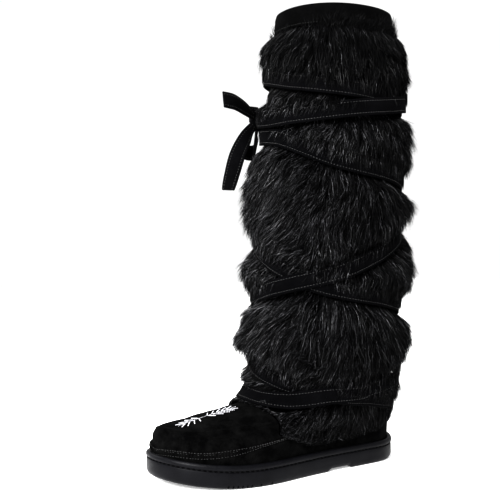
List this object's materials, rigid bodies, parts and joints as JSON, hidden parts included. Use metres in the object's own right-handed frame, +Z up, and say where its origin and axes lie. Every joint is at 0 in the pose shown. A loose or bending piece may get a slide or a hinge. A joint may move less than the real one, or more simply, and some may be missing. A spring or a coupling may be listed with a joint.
{
  "type": "mukluk boot",
  "caption": "Tall left boot in black suede with a long-haired fur shaft, criss-cross wrap straps tied in a bow, a white beaded spray on the vamp and a lugged rubber cup sole",
  "frame": {"origin": "on the floor, at the middle of the heel's rest face, under the middle of the shaft", "axes": "+Z up along the shaft, -Y towards the toe, +X towards the little-toe side of this left boot"},
  "size_m": [0.1941, 0.2946, 0.4576],
  "materials": {
    "sole_rubber": "satin",
    "black_suede": "matte napped suede",
    "footbed_fleece": "matte pile",
    "black_fur": "long hair with a soft sheen",
    "strap_suede": "matte napped suede",
    "white_beads": "gloss"
  },
  "bodies": {
    "root": {"outsole": "sole_rubber", "upper": "black_suede", "insole": "footbed_fleece", "suede_rand": "black_suede", "collar_band": "black_suede", "fur_sleeve": "black_fur", "wrap_strap_rising": "strap_suede", "wrap_strap_falling": "strap_suede", "bow_knot": "strap_suede", "bow_loop_upper": "strap_suede", "bow_loop_lower": "strap_suede", "strap_end_upper": "strap_suede", "strap_end_lower": "strap_suede", "bead_spray": "white_beads"}
  },
  "joints": []
}
